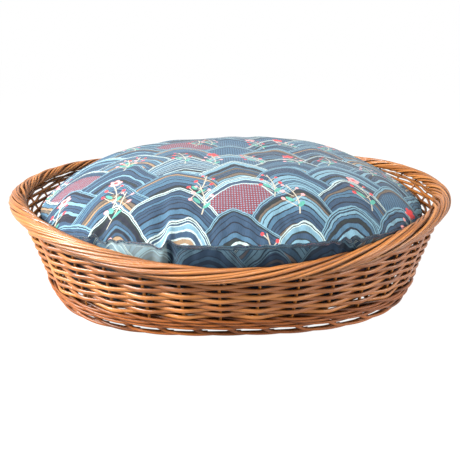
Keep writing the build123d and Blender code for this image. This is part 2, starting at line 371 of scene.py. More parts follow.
# ---------------------------------------------------------------- side stakes
def make_stakes():
    rods = Rods(11)
    for k in range(STAKES):
        angle = direction(k)
        reach = oval_reach(angle, RIM_A, RIM_B, 2)
        high = rim_level(reach * np.cos(angle)) - BORDER_HEIGHT / 2
        level = np.linspace(STAKE_FOOT, high, 14)
        lean = slow_noise(rods.random, 14, 3) * 0.012
        path = np.concatenate([wall_point(k + lean[i : i + 1], z, 0.0) for i, z in enumerate(level)])
        rods.add(path, STAKE_RADIUS * np.linspace(1.08, 0.94, 14), up=(0.3, 0.2, 0.1), shade=0.9)
    rods.make("stake_rods", rod_willow, ["side_stakes"])


# ---------------------------------------------------------------- siding
def make_siding(number):
    node = f"siding_row_{number:02d}"
    low, high = (Vector(c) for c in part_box(node))
    level = (low.z + high.z) / 2
    rods = Rods(100 + number)
    side = 1 if number % 2 else -1
    if level < rim_level(0.0) - BORDER_HEIGHT / 2 + ROD_TUCK:
        spans = [(0, STAKES)]
    else:
        # the high rows run round each end only, between the places where the border cuts them off
        share = (RIM_TOP - BORDER_HEIGHT / 2 + ROD_TUCK - level) / RIM_DIP
        cut = RIM_A * math.sqrt(1 - math.sqrt(max(share, 0)))
        stations = np.linspace(0, STAKES, 4001)
        angle = direction(stations)
        x = oval_reach(angle, RIM_A, RIM_B, 2) * np.cos(angle)
        quarter = stations[np.argmax(x < cut)]
        spans = [(-1 - quarter, quarter), (STAKES / 2 - 1 - quarter, STAKES / 2 + quarter)]
    for first, last in spans:
        closed = last - first >= STAKES
        count = int((last - first) * STEPS)
        station = np.linspace(first, last, count, endpoint=not closed)
        wave = np.cos(np.pi * station) + 0.10 * np.cos(3 * np.pi * station)
        offset = side * SWING * wave / 1.1
        jitter = slow_noise(rods.random, count, max(int((last - first) * 1.3), 2), closed)
        uneven = slow_noise(rods.random, count, 7, closed)
        radius = ROD_RADIUS * (0.93 + 0.04 * uneven + 0.13 * np.abs(wave))
        height = level + 0.00035 * jitter
        path = wall_point(station, height, offset)
        # each course is made of several rods, of their own shades
        shades = rods.random.random(6)
        shade = shades[((station + number * 3.3) // 9).astype(int) % 6]
        rods.add(path, radius, flat=ROD_FLATNESS, closed=closed, shade=shade)
    rods.make(f"weaver_{number:02d}", rod_willow, [node])


# ---------------------------------------------------------------- upsett waling
def make_wale(number):
    node = f"upsett_wale_{number}"
    low, high = (Vector(c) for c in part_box(node))
    level = (low.z + high.z) / 2
    rods = Rods(300 + number)
    count = STAKES * STEPS
    station = np.linspace(0, STAKES, count, endpoint=False)
    # three rods a round: each passes outside two stakes and inside the third
    for rod in range(3):
        phase = (station * WALE_PERIODS / STAKES + rod / 3 + number * 0.45) % 1
        swing = 0.5 - np.cos(2 * np.pi * phase)
        offset = np.where(swing < 0, swing / 0.5, np.minimum(swing, 1.4)) * SWING
        drop = np.interp(phase, [0, 1 / 6, 5 / 6, 1], [0, 1, -1, 0])
        height = level + WALE_DROP * drop
        radius = WALE_RADIUS * (1 + 0.05 * slow_noise(rods.random, count, 9, True))
        # painted shade: a strand's colour is darker where it goes inward, behind the others
        shade = 1.25 * np.clip(offset / SWING, 0, 1.3) - 1.0
        rods.add(wall_point(station, height, offset), radius, flat=0.95, closed=True, shade=shade)
    rods.make(f"wale_{number}", shaded_low_willow, [node])


# ---------------------------------------------------------------- rolled border
def make_border():
    """Three rods a stake go inward under the border, up its inside, over the top and down the outside."""
    rods = Rods(500)
    steps = 70
    out = BORDER_WIDTH / 2 - BORDER_STRAND
    rise = BORDER_HEIGHT / 2 - BORDER_STRAND
    for k in range(BORDER_RODS_A_STAKE * STAKES):
        t = np.linspace(0, 1, steps)
        first = k / BORDER_RODS_A_STAKE + 0.05 * rods.random.normal()
        laps = 4.6 + 0.3 * rods.random.normal()
        station = first - laps * t
        section = np.interp(t, [0, 0.07, 0.30, 1], [-112, -158, -258, -402])
        section = np.radians(section + 2.5 * slow_noise(rods.random, steps, 5))
        centre, outward, up = rim_frame(station)
        swell = 1 + 0.04 * slow_noise(rods.random, steps, 4)
        swell = swell * np.interp(t, [0, 0.035, 0.08, 0.95, 1], [0.52, 0.78, 1.0, 1.0, 0.82])
        path = (
            centre
            + outward * (np.cos(section) * out * swell)[:, None]
            + up * (np.sin(section) * rise * swell)[:, None]
        )
        if k % BORDER_RODS_A_STAKE == 0:
            edge = rim_level(path[0, 0]) - BORDER_HEIGHT / 2
            start = wall_point(np.array([first + 0.16, first + 0.08]), edge - 0.0035, 0.0012)
            start[1, 2] += 0.002
            path = np.concatenate([start, path])
            section = np.concatenate([section[:1], section[:1], section])
            outward = np.concatenate([outward[:1], outward[:1], outward])
        along = np.linspace(0, 1, len(path))
        radius = BORDER_STRAND * np.interp(along, [0, 0.08, 0.8, 1], [0.8, 1.08, 0.98, 0.7])
        facing = outward * np.cos(section)[:, None] + up * np.sin(section)[:, None]
        rods.add(path, radius, up=facing, sides=9)
    # a pair of thin rods packs the gap between the border and the siding towards each end
    for first in (-8.0, STAKES / 2 - 8.0):
        station = np.linspace(first, first + 16, 16 * STEPS)
        angle = direction(station)
        edge = rim_level(oval_reach(angle, RIM_A, RIM_B, 2) * np.cos(angle)) - BORDER_HEIGHT / 2
        for side in (-1, 1):
            height = edge - 0.0012 + 0.0004 * slow_noise(rods.random, len(station), 20)
            path = wall_point(station, height, side * SWING * np.cos(np.pi * station))
            rods.add(path, PACKING_RADIUS, sides=7)
    # four hidden rods are the border's core; they take the darkest tone, as painted shade seen in the gaps
    # between the border's strands
    station = np.linspace(0, STAKES, 160, endpoint=False)
    centre, outward, up = rim_frame(station)
    for out_share, up_share in ((0.35, 0), (-0.35, 0), (0, 0.3), (0, -0.3)):
        path = centre + outward * out_share * BORDER_WIDTH / 2 + up * up_share * BORDER_HEIGHT / 2
        rods.add(path, CORE_RADIUS, sides=6, closed=True, shade=0.0)
    rods.make("border_rods", border_willow, ["rolled_border"])


# ---------------------------------------------------------------- foot border
def make_foot():
    """Each rod leaves the wall under a stake, leans down to the foot and runs along it."""
    rods = Rods(600)
    steps = 60
    half = FOOT_WIDTH / 2 - FOOT_STRAND
    tall = foot_high.z / 2 - FOOT_STRAND
    for k in range(STAKES):
        t = np.linspace(0, 1, steps)
        station = k + 2.6 * t
        section = np.radians(np.interp(t, [0, 0.2, 1], [90, 60, -200]))
        lift = np.interp(t, [0, 0.04, 0.17, 0.23, 1], [1, 0.88, 0.10, 0, 0])
        level = foot_high.z / 2 + tall * np.sin(section)
        level = level + (FOOT_ROD_START - level) * lift
        path = wall_point(station, level, half * np.cos(section))
        radius = FOOT_STRAND * np.interp(t, [0, 0.2, 1], [1.05, 1.05, 0.8])
        rods.add(path, radius, up=(0.1, 0.1, 1))
    station = np.linspace(0, STAKES, 400, endpoint=False)
    rods.add(wall_point(station, foot_high.z / 2, 0.0), FOOT_STRAND, closed=True, shade=0.2)
    rods.make("foot_rods", shaded_low_willow, ["foot_border", "foot_stake_ends"])


# ---------------------------------------------------------------- woven base
def make_base():
    low, high = (Vector(c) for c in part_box("base_weave"))
    middle = (low.z + high.z) / 2
    half_length, half_width = high.x, high.y
    cross_low, cross_high = (Vector(c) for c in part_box("base_cross_sticks"))
    long_low, long_high = (Vector(c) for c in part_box("base_long_sticks"))
    cross_radius = (cross_high.z - cross_low.z) / 2
    long_radius = (long_high.z - long_low.z) / 2
    cross_x = np.linspace(cross_low.x + cross_radius, cross_high.x - cross_radius, CROSS_STICKS)
    long_y = np.linspace(long_low.y + long_radius, long_high.y - long_radius, LONG_STICKS)

    sticks = Rods(700)
    for x in cross_x:
        share = 1 - abs(x / half_length) ** FOOT_SQUARENESS
        y = half_width * share ** (1 / FOOT_SQUARENESS) * 0.985
        path = np.stack([np.full(20, x), np.linspace(-y, y, 20), np.full(20, middle)], -1)
        sticks.add(path, cross_radius * 0.92)
    sticks.make("base_cross_rods", base_willow, ["base_cross_sticks"])
    sticks = Rods(701)
    for y in long_y:
        share = 1 - abs(y / half_width) ** FOOT_SQUARENESS
        x = half_length * share ** (1 / FOOT_SQUARENESS) * 0.985
        path = np.stack([np.linspace(-x, x, 40), np.full(40, y), np.full(40, middle)], -1)
        sticks.add(path, long_radius * 0.92)
    sticks.make("base_long_rods", base_willow, ["base_long_sticks"])

    weave = Rods(702)
    for i in range(BASE_ROUNDS):
        share = (i + 0.6) / BASE_ROUNDS
        # the rounds start as a long loop round the middle and end as the base's outline
        inset = (1 - share) * (half_width - BASE_ROD)
        a = half_length + BASE_REACH - BASE_ROD - inset
        b = half_width + BASE_REACH - BASE_ROD - inset
        steps = 2 * int(70 + 110 * share)
        turn = np.linspace(0, 2 * np.pi, steps, endpoint=False)
        reach = oval_reach(turn, a, b, 2.0 + 0.7 * share)
        x, y = reach * np.cos(turn), reach * np.sin(turn)
        crossings = []
        for values, places, other in ((x, cross_x, y), (y, long_y, x)):
            for place in places:
                signs = np.sign(values - place)
                for at in np.nonzero(signs * np.roll(signs, -1) < 0)[0]:
                    steep = abs(values[(at + 1) % steps] - values[at])
                    slow = abs(other[(at + 1) % steps] - other[at])
                    if steep > slow * 0.45:
                        crossings.append(turn[at])
        crossings = np.unique(np.round(crossings, 3))
        if len(crossings) % 2:
            crossings = crossings[:-1]
        wave = np.interp(
            turn,
            np.concatenate([[crossings[-1] - 2 * np.pi], crossings, [crossings[0] + 2 * np.pi]]),
            np.arange(-1, len(crossings) + 1),
        )
        sign = 1 if i % 2 else -1
        height = middle + sign * (cross_radius * 0.55 + BASE_ROD * 0.45) * np.cos(np.pi * wave)
        path = np.stack([x, y, height], -1)
        radius = BASE_ROD * (1 + 0.05 * slow_noise(weave.random, steps, 9, True))
        weave.add(path, radius, sides=7, closed=True)
    # a last rod packs the base against the wall
    station = np.linspace(0, STAKES, 480, endpoint=False)
    weave.add(wall_point(station, middle + 0.0015, -0.0062), BASE_ROD * 1.15, sides=8, closed=True)
    weave.make("base_rods", base_willow, ["base_weave"])


# ---------------------------------------------------------------- cushion
def crown_grid(cells):
    """Square grid spread over a unit disc, as arrays of x and y."""
    line = np.linspace(-1, 1, cells + 1)
    u, v = np.meshgrid(line, line, indexing="ij")
    return u * np.sqrt(1 - v**2 / 2), v * np.sqrt(1 - u**2 / 2)


def mesh_piece(name, verts, faces, material, print_and_shade_at=None):
    mesh = bpy.data.meshes.new(name)
    mesh.from_pydata(np.asarray(verts), [], np.asarray(faces).tolist())
    if print_and_shade_at is not None:
        layer = mesh.attributes.new("print_and_shade", "FLOAT_VECTOR", "POINT")
        layer.data.foreach_set("vector", np.asarray(print_and_shade_at, float).ravel())
    mesh.shade_smooth()
    mesh.materials.append(material)
    piece = bpy.data.objects.new(name, mesh)
    bpy.context.scene.collection.objects.link(piece)
    return piece


top_low, top_high = (Vector(c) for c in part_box("cover_top_panel"))
bottom_low, bottom_high = (Vector(c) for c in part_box("cover_bottom_panel"))
CUSHION_A, CUSHION_B = top_high.x, top_high.y
SEAM = top_low.z
CROWN = top_high.z - SEAM - 0.005
CUSHION_SQUARENESS = 2.3
CELLS = 96
tape_low, tape_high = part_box("zip_tape_lower")[0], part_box("zip_tape_upper")[1]
HEM = 0.004
ZIP_HALF = tape_high.x
OPENING_LOW, OPENING_HIGH = tape_low.z + HEM, tape_high.z - HEM
BACK_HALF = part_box("cover_back_band")[1].x
BAND_LEVELS = np.concatenate([
    np.linspace(SEAM, OPENING_HIGH, 9)[:-1],
    np.linspace(OPENING_HIGH, OPENING_LOW, 4)[:-1],
    np.linspace(OPENING_LOW, bottom_low.z, 8),
])


def seam_level(x):
    """The cover's top seam sags towards the two ends."""
    t = np.clip((np.abs(x) - 0.12) / 0.15, 0, 1)
    return SEAM - 0.012 * t * t * (3 - 2 * t)


def zip_nearness(points):
    """1 on the zip and close to it, and 0 well away from it."""
    middle = (OPENING_LOW + OPENING_HIGH) / 2
    half = (tape_high.z - tape_low.z) / 2
    beyond = np.maximum(np.abs(points[:, 0]) - ZIP_HALF, 0)
    above = np.maximum(np.abs(points[:, 2] - middle) - half, 0)
    return np.clip(1.4 - np.hypot(beyond, above) / 0.015, 0, 1) * (points[:, 1] > 0)


def ripple(x, y, seed, scale):
    """Smooth uneven waves over a surface, the same every time."""
    random = np.random.default_rng(seed)
    total = np.zeros_like(x)
    for _ in range(9):
        angle, phase = random.random(2) * 2 * np.pi
        wave = scale * (0.6 + random.random())
        total += np.sin((x * np.cos(angle) + y * np.sin(angle)) * wave + phase)
    return total / 3


def bell(value, middle, width):
    return np.exp(-(((value - middle) / width) ** 2))


def edge_folds(x, y):
    """How far the cover's edge stands out at a place on it: puckers, gathers and one deep fold."""
    angle = np.arctan2(y, x)
    walk = angle * (CUSHION_A + CUSHION_B) / 2
    puckers = 0.5 + 0.5 * np.sin(walk * 330 + 3 * ripple(x, y, 3, 9))
    uneven = 0.55 + 0.45 * np.tanh(ripple(x, y, 4, 16))
    front = y < 0
    gathers = front * (bell(x, 0.128, 0.03) + 0.7 * bell(x, -0.15, 0.022))
    ruffle = np.sin(walk * 430 + 2 * ripple(x, y, 8, 12))
    fold = front * (bell(x, -0.090, 0.006) - 1.5 * bell(x, -0.079, 0.0045) + 0.5 * bell(x, 0.151, 0.005))
    fold += front * (0.8 * bell(x, -0.160, 0.005) - 1.4 * bell(x, -0.170, 0.005))
    return 0.0013 * uneven * puckers + 0.0030 * gathers * ruffle + 0.0042 * fold


def cushion_shell():
    """The closed cover: the top, then the band's rings, then the bottom, with where each is printed and how
    much painted shade each place gets.
    """
    ux, uy = crown_grid(CELLS)
    radius, angle = np.hypot(ux, uy), np.arctan2(uy, ux)
    reach = oval_reach(angle, CUSHION_A, CUSHION_B, CUSHION_SQUARENESS)
    x, y = reach * radius * np.cos(angle), reach * radius * np.sin(angle)
    inward = (1 - radius) * reach
    power = 3.7 - 0.6 * np.cos(angle) ** 2
    seam = seam_level(x)
    crown = (CROWN + SEAM - seam) * (1 - radius**power) * (0.965 + 0.035 * y / CUSHION_B)
    lumps = 0.0022 * ripple(x, y, 5, 24) + 0.0008 * ripple(x, y, 6, 70)
    folds = edge_folds(x, y) * np.exp(-inward / 0.030)
    z = seam + crown + lumps * (1 - radius**8) - 1.4 * folds
    top = np.stack([x, y, z], -1).reshape(-1, 3)
    n = CELLS + 1
    index = np.arange(n * n).reshape(n, n)
    loop = np.concatenate([index[:-1, 0], index[-1, :-1], index[:0:-1, -1], index[0, :0:-1]])
    quads = np.stack([index[:-1, :-1], index[1:, :-1], index[1:, 1:], index[:-1, 1:]], -1).reshape(-1, 4)
    verts, print_and_shade_values = [top], [np.stack([x, y, 0 * x], -1).reshape(-1, 3)]

    rim = top[loop]
    out = rim * [1 / CUSHION_A**2, 1 / CUSHION_B**2, 0]
    out /= np.linalg.norm(out, axis=1, keepdims=True)
    rings = [loop]
    shrink = np.array([bottom_high.x / CUSHION_A, bottom_high.y / CUSHION_B, 0])
    walk = np.cumsum(np.linalg.norm(rim - np.roll(rim, 1, 0), axis=1))
    # the gusset beside the deep fold shows a paler part of the print
    gusset = (rim[:, 1] < 0) * (rim[:, 0] > -0.155) * (rim[:, 0] < -0.083)
    for j, level in enumerate(BAND_LEVELS[1:-1], 1):
        t = (SEAM - level) / (SEAM - bottom_low.z)
        stretch = (1 - t) + t * shrink
        stretch[2] = 0
        ring = rim * stretch + [0, 0, level]
        sag = max(level - OPENING_HIGH, 0) / (SEAM - OPENING_HIGH)
        ring[:, 2] -= sag * (SEAM - seam_level(rim[:, 0]))
        near = zip_nearness(ring)
        ring[:, 2] -= 1.4 * edge_folds(rim[:, 0], rim[:, 1]) * (1 - t) * (1 - near)
        puff = 0.0035 * math.sin(math.pi * t)
        stand = puff + edge_folds(rim[:, 0], rim[:, 1]) * (1 - t) ** 0.7 * min(1, 5 * t)
        ring += out * (stand * (1 - near) + 0.0006 * near)[:, None]
        start = n * n + (j - 1) * len(loop)
        rings.append(np.arange(start, start + len(loop)))
        verts.append(ring)
        # painted shade: the band is darkened, more towards its bottom; in the gusset the painted shade is
        # taken off and the colour paled instead
        band_shade_and_pale_gusset = (1 + 0.6 * t) * (1 - 1.6 * gusset * (1 - 0.5 * t))
        print_and_shade_values.append(np.stack([walk + 0.24, 0 * walk + level - 0.105, band_shade_and_pale_gusset], -1))
    start = n * n + (len(BAND_LEVELS) - 2) * len(loop)
    bottom_reach = oval_reach(angle, bottom_high.x, bottom_high.y, CUSHION_SQUARENESS)
    bx, by = bottom_reach * radius * np.cos(angle), bottom_reach * radius * np.sin(angle)
    verts.append(np.stack([bx, by, np.full_like(bx, bottom_low.z + 0.0004)], -1).reshape(-1, 3))
    print_and_shade_values.append(np.stack([bx + 0.4, by, 0 * bx], -1).reshape(-1, 3))
    rings.append(loop + start)
    rings = np.stack(rings)
    ahead = np.roll(rings, -1, 1)
    band = np.stack([rings[:-1], rings[1:], ahead[1:], ahead[:-1]], -1).reshape(-1, 4)
    bottom = quads[:, ::-1] + start
    return np.concatenate(verts), np.concatenate(print_and_shade_values), quads, band, bottom, loop


def puffed(verts, faces, free):
    """The cover after a cloth simulation under its filling's pressure; free is how far each point may go."""
    work = mesh_piece("cloth_work", verts, faces, bpy.data.materials.new("work"))
    pins = work.vertex_groups.new(name="pins")
    for i in np.nonzero(free < 0.0016)[0]:
        pins.add([int(i)], 1.0, "REPLACE")
    cloth = work.modifiers.new("cloth", "CLOTH")
    cloth.settings.quality = 6
    cloth.settings.mass = 0.25
    cloth.settings.tension_stiffness = cloth.settings.compression_stiffness = 18
    cloth.settings.shear_stiffness = 6
    cloth.settings.bending_stiffness = 0.25
    cloth.settings.shrink_min = -0.035
    cloth.settings.use_pressure = True
    cloth.settings.uniform_pressure_force = 3.5
    cloth.settings.vertex_group_mass = "pins"
    cloth.settings.effector_weights.gravity = 0
    cloth.collision_settings.use_collision = False
    cloth.point_cache.frame_start, cloth.point_cache.frame_end = 1, 20
    scene = bpy.context.scene
    for number in range(1, 21):
        scene.frame_set(number)
    settled = work.evaluated_get(bpy.context.evaluated_depsgraph_get()).data
    moved = np.empty(len(verts) * 3)
    settled.vertices.foreach_get("co", moved)
    scene.frame_set(1)
    bpy.data.objects.remove(work)
    step = moved.reshape(-1, 3) - verts
    far = np.linalg.norm(step, axis=1)
    share = np.where(far > 1e-9, free * np.tanh(far / free) / np.maximum(far, 1e-9), 0)
    return verts + step * share[:, None]


def cover_part(name, verts, print_and_shade_values, faces, material, *nodes):
    """One panel of the cover, smoothed, from its faces of the whole shell."""
    used, own = np.unique(faces, return_inverse=True)
    piece = mesh_piece(name, verts[used], own.reshape(-1, 4), material, print_and_shade_values[used])
    smooth = piece.modifiers.new("smooth", "SUBSURF")
    smooth.levels = smooth.render_levels = 1
    smooth.boundary_smooth = "PRESERVE_CORNERS"
    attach(piece, "cushion")
    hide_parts(*nodes)


def make_cushion(material, calico, thread):
    verts, print_and_shade_values, top, band, bottom, loop = cushion_shell()
    level = verts[:, 2]
    free = np.where(level > seam_level(verts[:, 0]) + 0.003, 0.007, 0.003)
    free = np.where(level < bottom_low.z + 0.001, 0.001, free)
    free[loop] = 0.0015
    free = free * (1 - zip_nearness(verts)) + 0.00001
    verts = puffed(verts, np.concatenate([top, band, bottom]), free)
    cover_part("cushion_top", verts, print_and_shade_values, top, material, "cover_top_panel")
    middle = verts[band].mean(1)
    back = (middle[:, 1] > 0) & (np.abs(middle[:, 0]) < BACK_HALF)
    level = middle[:, 2]
    opening = back & (level > OPENING_LOW) & (level < OPENING_HIGH)
    opening &= np.abs(middle[:, 0]) < ZIP_HALF - 0.003
    cover_part("cushion_front_band", verts, print_and_shade_values, band[~back], material, "cover_front_band")
    cover_part("cushion_back_band", verts, print_and_shade_values, band[back & ~opening], material, "cover_back_band")
    cover_part("cushion_bottom", verts, print_and_shade_values, bottom, material, "cover_bottom_panel")
    stitches = Rods(40)
    for here, there in zip(verts[loop], verts[np.roll(loop, -1)]):
        out = here * [1 / CUSHION_A**2, 1 / CUSHION_B**2, 0]
        out /= np.linalg.norm(out)
        ends = [here * 0.85 + there * 0.15, here * 0.25 + there * 0.75]
        path = np.stack([ends[0], (ends[0] + ends[1]) / 2 + out * 0.0003, ends[1]]) + [0, 0, -0.0016]
        stitches.add(path + out * 0.0005, 0.00035, sides=5, shade=0.5)
    stitches.make("cushion_seam_thread", thread, [], "cushion")

    used, own = np.unique(np.concatenate([top, band, bottom]), return_inverse=True)
    inner = verts[used] * [0.975, 0.972, 0.93] + [0, 0, 0.0045]
    pad = mesh_piece("inner_pad", inner, own.reshape(-1, 4), calico)
    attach(pad, "cushion")
    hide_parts("inner_case", "cushion_filling")


# ---------------------------------------------------------------- zip
def make_teeth(material):
    """The zip's teeth: one nylon thread wound along the line where the tapes meet."""
    low, high = (Vector(c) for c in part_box("zip_coil"))
    level = (low.z + high.z) / 2
    share = (level - bottom_low.z) / (SEAM - bottom_low.z)
    half_length = bottom_high.x + (CUSHION_A - bottom_high.x) * share
    half_width = bottom_high.y + (CUSHION_B - bottom_high.y) * share
    power = CUSHION_SQUARENESS
    turns = 200
    x = np.linspace(low.x + 0.001, high.x - 0.001, turns * 8)
    y = half_width * (1 - np.abs(x / half_length) ** power) ** (1 / power)
    out = np.stack([np.sign(x) * np.abs(x / half_length) ** (power - 1) / half_length,
                    (y / half_width) ** (power - 1) / half_width], -1)
    out /= np.linalg.norm(out, axis=1, keepdims=True)
    wind = np.linspace(0, 2 * np.pi * turns, len(x))
    flat = np.stack([x, y], -1) + out * (0.0009 + 0.0006 * np.cos(wind))[:, None]
    tall = (high.z - low.z) * 0.42
    rods = Rods(50)
    path = np.concatenate([flat, (level + tall * np.sin(wind))[:, None]], -1)
    rods.add(path, 0.00034, up=(0.3, 0.2, 0.9), sides=5, shade=0.5)
    rods.make("zip_teeth", material, ["zip_coil"], "cushion")


def make_pull(material):
    """The slider's body, the bridge on it, and its flat pull hanging down."""
    low, high = (Vector(c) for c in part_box("zip_slider"))
    slide = next(joint for joint in frame["joints"] if joint["name"] == "zip_slide")
    axis = Vector(slide["pos_m"])
    centre = (low + high) / 2
    out = (centre - Vector((axis.x, axis.y, centre.z))).normalized()
    along = out.cross(Vector((0, 0, 1)))
    tall = high.z - low.z
    long = (high.x - low.x) / abs(along.x) - 0.001
    parts = [
        ((0, 0, 0), (long, 0.0032, tall)),
        ((0, 0.0022, 0), (long * 0.5, 0.0016, tall * 0.3)),
        ((0, 0.0030, -tall * 0.85), (tall * 0.5, 0.0010, tall * 2.1)),
    ]
    verts, faces = [], []
    for shift, size in parts:
        start = len(verts)
        for a in (-0.5, 0.5):
            for b in (-0.5, 0.5):
                for c in (-0.5, 0.5):
                    place = (shift[0] + a * size[0], shift[1] + b * size[1], shift[2] + c * size[2])
                    verts.append(centre + along * place[0] + out * place[1] + Vector((0, 0, place[2])))
        faces += [[start + i for i in side] for side in (
            (0, 1, 3, 2), (4, 6, 7, 5), (0, 4, 5, 1), (2, 3, 7, 6), (0, 2, 6, 4), (1, 5, 7, 3))]
    pull = mesh_piece("zip_pull", verts, faces, material)
    bevel = pull.modifiers.new("rounded", "BEVEL")
    bevel.width, bevel.segments = 0.0004, 3
    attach(pull, "zip_slider")
    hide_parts("zip_slider")


def make_zip():
    g = Graph("zip_tape")
    place = g.place()
    along, _, up = g.split(place)
    rib = g.math("SINE", g.mul(g.add(along, up), 4200.0))
    fleck = g.noise(place, 500.0, 2.0)
    colour = g.ramp(fleck, [(0.3, (30, 46, 66)), (0.7, (46, 66, 90))])
    tape = g.finish(colour, 0.85, g.bump(rib, 0.0002, 0.6), Sheen_Weight=0.1)
    for node in ("zip_tape_upper", "zip_tape_lower"):
        frame["nodes"][node].material_slots[0].material = tape
    g = Graph("zip_nylon")
    fleck = g.noise(g.place(), 300.0)
    make_teeth(g.finish(g.ramp(fleck, [(0.3, (60, 84, 108)), (0.7, (78, 104, 128))]), 0.35))
    g = Graph("zip_metal")
    rub = g.noise(g.place(), 420.0, 3.0)
    colour = g.ramp(rub, [(0.3, (150, 148, 142)), (0.7, (186, 184, 178))])
    rough = g.add(g.mul(rub, 0.25), 0.18)
    make_pull(g.finish(colour, rough, g.bump(rub, 0.0001, 0.3), Metallic=1.0))


# ---------------------------------------------------------------- printed cotton
HILL_WIDTH = 0.150
HILL_PITCH = 0.030
ICE, SKY, BLUE = (142, 158, 156), (88, 120, 134), (52, 82, 102)
DENIM, NAVY, TEAL = (34, 56, 76), (14, 22, 34), (22, 32, 34)
TAN, TAUPE, MAROON = (118, 98, 76), (80, 70, 60), (96, 40, 50)
CORAL, BLUSH, MINT = (178, 50, 54), (188, 130, 130), (64, 128, 114)
BAND_COLOURS = [
    (0.0, BLUE), (0.32, DENIM), (0.60, SKY), (0.77, NAVY), (0.82, TAUPE), (0.86, TEAL), (0.92, TAN),
    (0.97, DENIM),
]


def cotton_material(name):
    """Printed cotton: overlapping hills of wavering bands with sprigs of berries and blossom."""
    g = Graph(name)
    layer = g.node("ShaderNodeAttribute", attribute_name="print_and_shade")
    px, py, band_shade_and_pale_gusset = g.split(layer.outputs["Vector"])
    place = g.join(px, py)
    soft = g.node("ShaderNodeTexNoise", {"Vector": place, "Scale": 10.0, "Detail": 2.0})
    wobble = g.node("ShaderNodeSeparateColor", {0: soft.outputs["Color"]})
    x = g.add(px, g.mul(g.sub(wobble.outputs[0], 0.5), 0.046))
    y = g.add(py, g.mul(g.sub(wobble.outputs[1], 0.5), 0.034))
    fine = g.noise(place, 90.0, 2.0)
    row = g.math("FLOOR", g.div(y, HILL_PITCH))
    dot_x = g.sub(g.math("FRACT", g.mul(px, 300.0)), 0.5)
    dot_y = g.sub(g.math("FRACT", g.mul(py, 280.0)), 0.5)
    dot = g.less(g.add(g.mul(dot_x, dot_x), g.mul(dot_y, dot_y)), 0.07)
    dotted = g.mix(dot, rgb(MAROON), rgb(SKY))
    hatched = g.mix(g.less(g.math("FRACT", g.mul(px, 260.0)), 0.45), rgb(BLUE), rgb(DENIM))
    colour = rgb(DENIM)
    for back in range(4):
        number = g.sub(row, float(back))
        shift = g.mul(g.math("FRACT", g.mul(number, 0.5)), HILL_WIDTH)
        column = g.math("FLOOR", g.div(g.add(x, shift), HILL_WIDTH))
        size, sort, pick = g.luck(column, number, 8.3)
        middle = g.sub(g.mul(g.add(column, 0.5), HILL_WIDTH), shift)
        middle = g.add(middle, g.mul(g.sub(sort, 0.5), 0.016))
        base = g.mul(number, HILL_PITCH)
        dx = g.sub(x, middle)
        skew = g.mul(g.math("SIGN", dx), g.mul(g.sub(pick, 0.5), 0.7))
        dx = g.mul(dx, g.add(g.math("MAXIMUM", skew, 0.0), 1.0))
        wide = g.add(g.mul(size, 0.012), 0.068)
        tall = g.add(g.mul(pick, 0.024), 0.064)
        slope = g.math("POWER", g.div(g.math("ABSOLUTE", dx), wide), 1.55)
        share = g.add(g.div(g.sub(y, base), tall), slope)
        share = g.add(share, g.mul(g.sub(fine, 0.5), 0.05))
        count = g.add(g.math("FLOOR", g.mul(pick, 5.0)), 9.0)
        uneven = g.math("SINE", g.add(g.mul(share, 13.0), g.mul(sort, 6.0)))
        bands = g.mul(g.add(share, g.mul(uneven, 0.03)), count)
        step = g.math("FLOOR", bands)
        within = g.math("FRACT", bands)
        key = {"Vector": g.join(step, column, number)}
        key = g.node("ShaderNodeTexWhiteNoise", key, noise_dimensions="3D").outputs["Value"]
        band = g.ramp(key, BAND_COLOURS, constant=True)
        ink = g.ramp(sort, [(0.0, NAVY), (0.55, TEAL), (0.88, ICE)], constant=True)
        line = g.less(within, g.mul(count, 0.020))
        band = g.mix(line, band, ink)
        # the innermost part of a hill is plain, dotted or hatched
        core = g.less(share, 0.74)
        band = g.mix(g.mul(core, g.math("COMPARE", pick, 0.67, 0.02)), band, dotted)
        band = g.mix(g.mul(core, g.less(pick, 0.12)), band, hatched)
        rim = g.mix(g.more(sort, 0.45), rgb(SKY), rgb(ICE))
        rim = g.mix(g.math("COMPARE", share, 0.960, 0.009), rim, rgb(NAVY))
        band = g.mix(g.math("COMPARE", share, 0.966, 0.035), band, rim)
        colour = g.mix(g.less(share, 1.0), colour, band)
    colour = sprigs(g, colour, px, py, 0.104, 0.0, CORAL, BLUSH)
    colour = sprigs(g, colour, px, py, 0.121, 5.3, BLUSH, CORAL)
    worn = g.noise(place, 240.0, 2.0)
    slub = g.noise(g.join(g.mul(px, 1100.0), g.mul(py, 190.0)), 1.0, 2.0)
    colour = g.mix(g.mul(worn, 0.16), colour, rgb(TAUPE))
    colour = g.mix(g.mul(g.sub(slub, 0.42, clamp=True), 1.1), colour, rgb(NAVY))
    # painted shade on the band, and a paler gusset
    colour = g.mix(g.mul(band_shade_and_pale_gusset, 0.60, clamp=True), colour, rgb((14, 30, 46)))
    colour = g.mix(g.mul(band_shade_and_pale_gusset, -0.60, clamp=True), colour, rgb(ICE))
    weave = g.mul(g.math("SINE", g.mul(px, 5200.0)), g.math("SINE", g.mul(py, 5200.0)))
    normal = g.bump(g.add(g.mul(weave, 0.5), worn), 0.0003, 0.6)
    return g.finish(colour, 0.92, normal, Sheen_Weight=0.06, Sheen_Roughness=0.4, Specular_IOR_Level=0.16)


